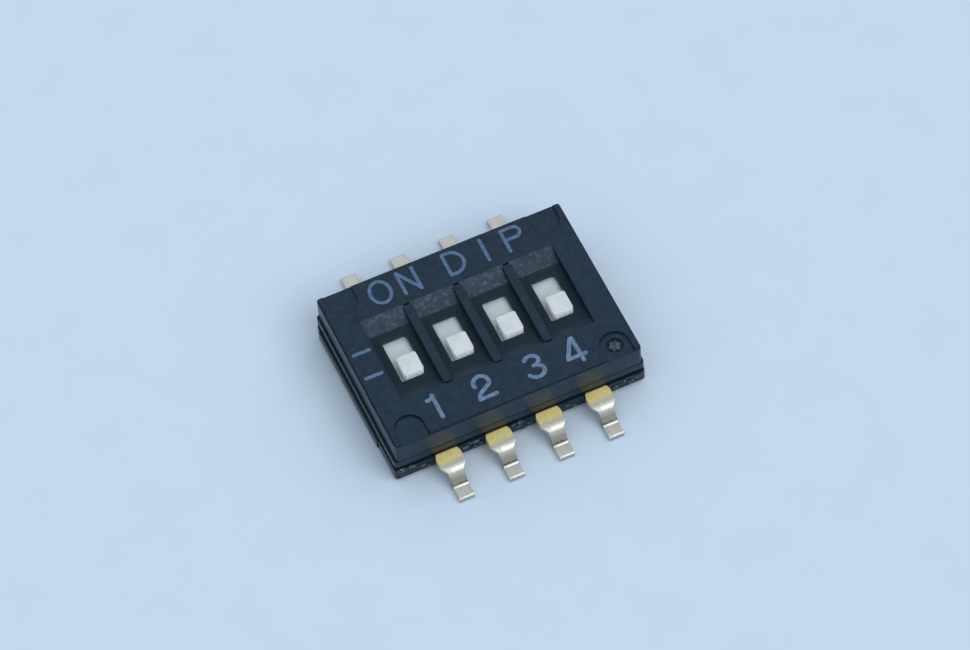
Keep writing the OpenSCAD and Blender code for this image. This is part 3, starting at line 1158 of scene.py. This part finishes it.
@dataclass
class Base:
    """Base moulding."""

    edge: float = 0.012
    plastic: BlackMoulding = BlackMoulding("base_black", display(8, 28, 38), display(16, 36, 48))

    def build(self) -> None:
        """Builds and dresses the base."""
        piece = from_node("base", "base_moulding")
        break_edges(piece, self.edge, 40, 2)
        piece.data.materials.append(self.plastic.material())
        settle(piece, Body.HOUSING.value, Slot.BASE, "base")


@dataclass
class Flash:
    """Plastic squeezed out of the mould's parting line on the OFF side of the base.

    Each lump is given by its place along the row, its height above the board
    and its length. The lumps keep clear of the terminals.
    """

    face: float = -2.3
    stand: float = 0.045
    tall: float = 0.55
    lumps: tuple[tuple[float, float, float], ...] = (
        (-3.0, 0.44, 0.26),
        (-2.76, 0.43, 0.17),
        (-2.5, 0.3, 0.16),
        (-2.35, 0.22, 0.18),
        (-1.42, 0.31, 0.2),
        (-1.28, 0.42, 0.14),
        (-1.15, 0.38, 0.2),
        (-1.2, 0.22, 0.18),
        (-1.02, 0.26, 0.15),
        (-0.2, 0.44, 0.15),
        (-0.03, 0.44, 0.17),
        (-0.06, 0.3, 0.2),
        (0.03, 0.18, 0.2),
        (0.2, 0.28, 0.15),
        (1.15, 0.33, 0.18),
        (1.35, 0.22, 0.15),
        (2.42, 0.28, 0.2),
        (2.62, 0.38, 0.16),
        (2.78, 0.25, 0.22),
        (3.0, 0.35, 0.18),
    )
    # Painted highlight: the flash's pale patches stand in for glints on the lumps
    finish: TornPlastic = TornPlastic(
        "flash_painted_glints", display(8, 20, 28), display(84, 101, 112), (0.47, 0.6), (0.3, 0.5), 0.06
    )

    def lump(self, place: Vector, length: float, seed: int) -> Piece:
        """Makes one flattened, uneven lump that is sunk halfway into the base.

        Args:
            place: Its middle.
            length: Its length along the row.
            seed: Number that sets its uneven form.

        Returns:
            The lump.
        """
        deselect_all()
        bpy.ops.mesh.primitive_ico_sphere_add(subdivisions=2, radius=length / 2, location=place)
        lump = newest()
        choose(lump, points=lambda place: True)
        flat = (1.0, 2 * self.stand / length, self.tall)
        bpy.ops.transform.resize(value=flat, center_override=place)
        bpy.ops.transform.vertex_random(offset=length / 12, seed=seed)
        bpy.ops.object.mode_set(mode="OBJECT")
        return lump

    def build(self) -> None:
        """Builds every lump and joins them into one piece."""
        pieces = [
            self.lump(Vector((along, self.face, rise)), length, seed)
            for seed, (along, rise, length) in enumerate(self.lumps)
        ]
        flash = join(pieces, "moulding_flash")
        flash.data.materials.append(self.finish.material())
        settle(flash, Body.HOUSING.value, Slot.BASE)


@dataclass
class Terminals:
    """Gull-wing terminals on both sides."""

    edge: float = 0.05
    fine_share: float = 0.24
    tip: float = 3.44
    foot_top: float = 0.14
    plating: Plating = Plating()

    def share(self, middle: Vector, way: Vector) -> float:
        """Gives the foot's top end edge the whole rounding and every other edge a small part."""
        at_tip = abs(middle.y) > self.tip and middle.z > self.foot_top and abs(way.x) > 0.9
        return 1.0 if at_tip else self.fine_share

    def build(self) -> None:
        """Builds and dresses every terminal."""
        material = self.plating.material()
        for side in Side:
            for number in range(1, SWITCHES + 1):
                node = f"{side.value}_terminal_{number}"
                piece = from_node(node, f"gull_wing_{side.value}_{number}")
                break_edges(piece, self.edge, 40, 3, self.share)
                piece.data.materials.append(material)
                settle(piece, Body.HOUSING.value, Slot.TERMINAL, node)


# ---- Moving parts ----


@dataclass
class Actuators:
    """Sliders with their knobs, and the contact springs that they carry."""

    edge: float = 0.01
    knob_foot: float = 1.17
    plastic: WhiteMoulding = WhiteMoulding()
    spring: SpringGold = SpringGold()

    def share(self, middle: Vector, way: Vector) -> float:
        """Rounds only the edges below the knob, whose own edges are round already."""
        return float(middle.z < self.knob_foot)

    def build(self) -> None:
        """Builds and dresses every slider and spring."""
        white, gold = self.plastic.material(), self.spring.material()
        for number in range(1, SWITCHES + 1):
            body = Body.ACTUATOR.value.format(number)
            piece = from_node(f"slider_{number}", f"slider_moulding_{number}")
            break_edges(piece, self.edge, 50, 2, self.share)
            piece.data.materials.append(white)
            settle(piece, body, Slot.SLIDER, f"slider_{number}")
            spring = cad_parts[f"contact_spring_{number}"]
            for slot in spring.material_slots:
                slot.material = gold
            log.info("contact_spring_%d keeps its packed mesh", number)


# ---- Studio ----


@dataclass
class Studio:
    """Card, lamps and camera."""

    card_half: float = 0.6
    eye: tuple[float, float, float] = (-0.023139, -0.06364, 0.101511)
    azimuth: float = -20.115
    elevation: float = 55.938
    roll: float = -5.172
    lens: float = 193.13
    key_from: tuple[float, float, float] = (0.33, -0.56, 0.76)
    key_wide: float = 42.0
    key_power: float = 1.1
    sky_low: Colour = (0.5, 0.56, 0.63, 1.0)
    sky_high: Colour = (0.755, 0.81, 0.895, 1.0)
    sky_turn: Span = (0.15, 0.75)
    clip: Span = (0.005, 5.0)

    def card(self) -> None:
        """Lays the card under the switch."""
        deselect_all()
        bpy.ops.mesh.primitive_plane_add(size=2 * self.card_half)
        card = bpy.context.object
        card.name = "card"
        card.data.materials.append(PaleCard().material())

    def lamps(self) -> None:
        """Hangs the broad key lamp."""
        deselect_all()
        way = Vector(self.key_from).normalized()
        bpy.ops.object.light_add(type="SUN", location=way * self.card_half)
        key = bpy.context.object
        key.name = "key_lamp"
        key.data.angle = math.radians(self.key_wide)
        key.data.energy = self.key_power
        key.rotation_euler = way.to_track_quat("Z", "Y").to_euler()

    def sky(self) -> None:
        """Lights the sky, dimmer towards the horizon."""
        world = bpy.data.worlds.new("sky")
        bpy.context.scene.world = world
        world.use_nodes = True
        nodes, links = world.node_tree.nodes, world.node_tree.links
        way = nodes.new("ShaderNodeTexCoord")
        split = nodes.new("ShaderNodeSeparateXYZ")
        ramp = nodes.new("ShaderNodeValToRGB")
        links.new(way.outputs["Generated"], split.inputs[0])
        links.new(split.outputs["Z"], ramp.inputs["Fac"])
        links.new(ramp.outputs["Color"], nodes["Background"].inputs["Color"])
        stops = zip(ramp.color_ramp.elements, self.sky_turn, (self.sky_low, self.sky_high))
        for stop, place, colour in stops:
            stop.position, stop.color = place, colour

    def camera(self) -> None:
        """Sets the camera."""
        deselect_all()
        bpy.ops.object.camera_add(location=self.eye)
        camera = bpy.context.object
        turn, rise = math.radians(self.azimuth), math.radians(self.elevation)
        back = Vector((math.sin(turn) * math.cos(rise), -math.cos(turn) * math.cos(rise), math.sin(rise)))
        aim = (-back).to_track_quat("-Z", "Y").to_matrix() @ Matrix.Rotation(math.radians(self.roll), 3, "Z")
        camera.rotation_euler = aim.to_euler()
        camera.data.lens = self.lens
        camera.data.clip_start, camera.data.clip_end = self.clip
        bpy.context.scene.camera = camera

    def build(self) -> None:
        """Sets up the whole studio."""
        self.card()
        self.lamps()
        self.sky()
        self.camera()
        bpy.context.scene.view_settings.view_transform = "Standard"


def main() -> None:
    """Builds the switch and its studio."""
    logging.basicConfig(level=logging.INFO, format="%(name)s: %(message)s")
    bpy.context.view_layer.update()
    for maker in (Cover(), GateScar(), Base(), Flash(), Terminals(), Actuators(), Studio()):
        maker.build()
        log.info("%s done", type(maker).__name__)


if __name__ == "__main__":
    main()
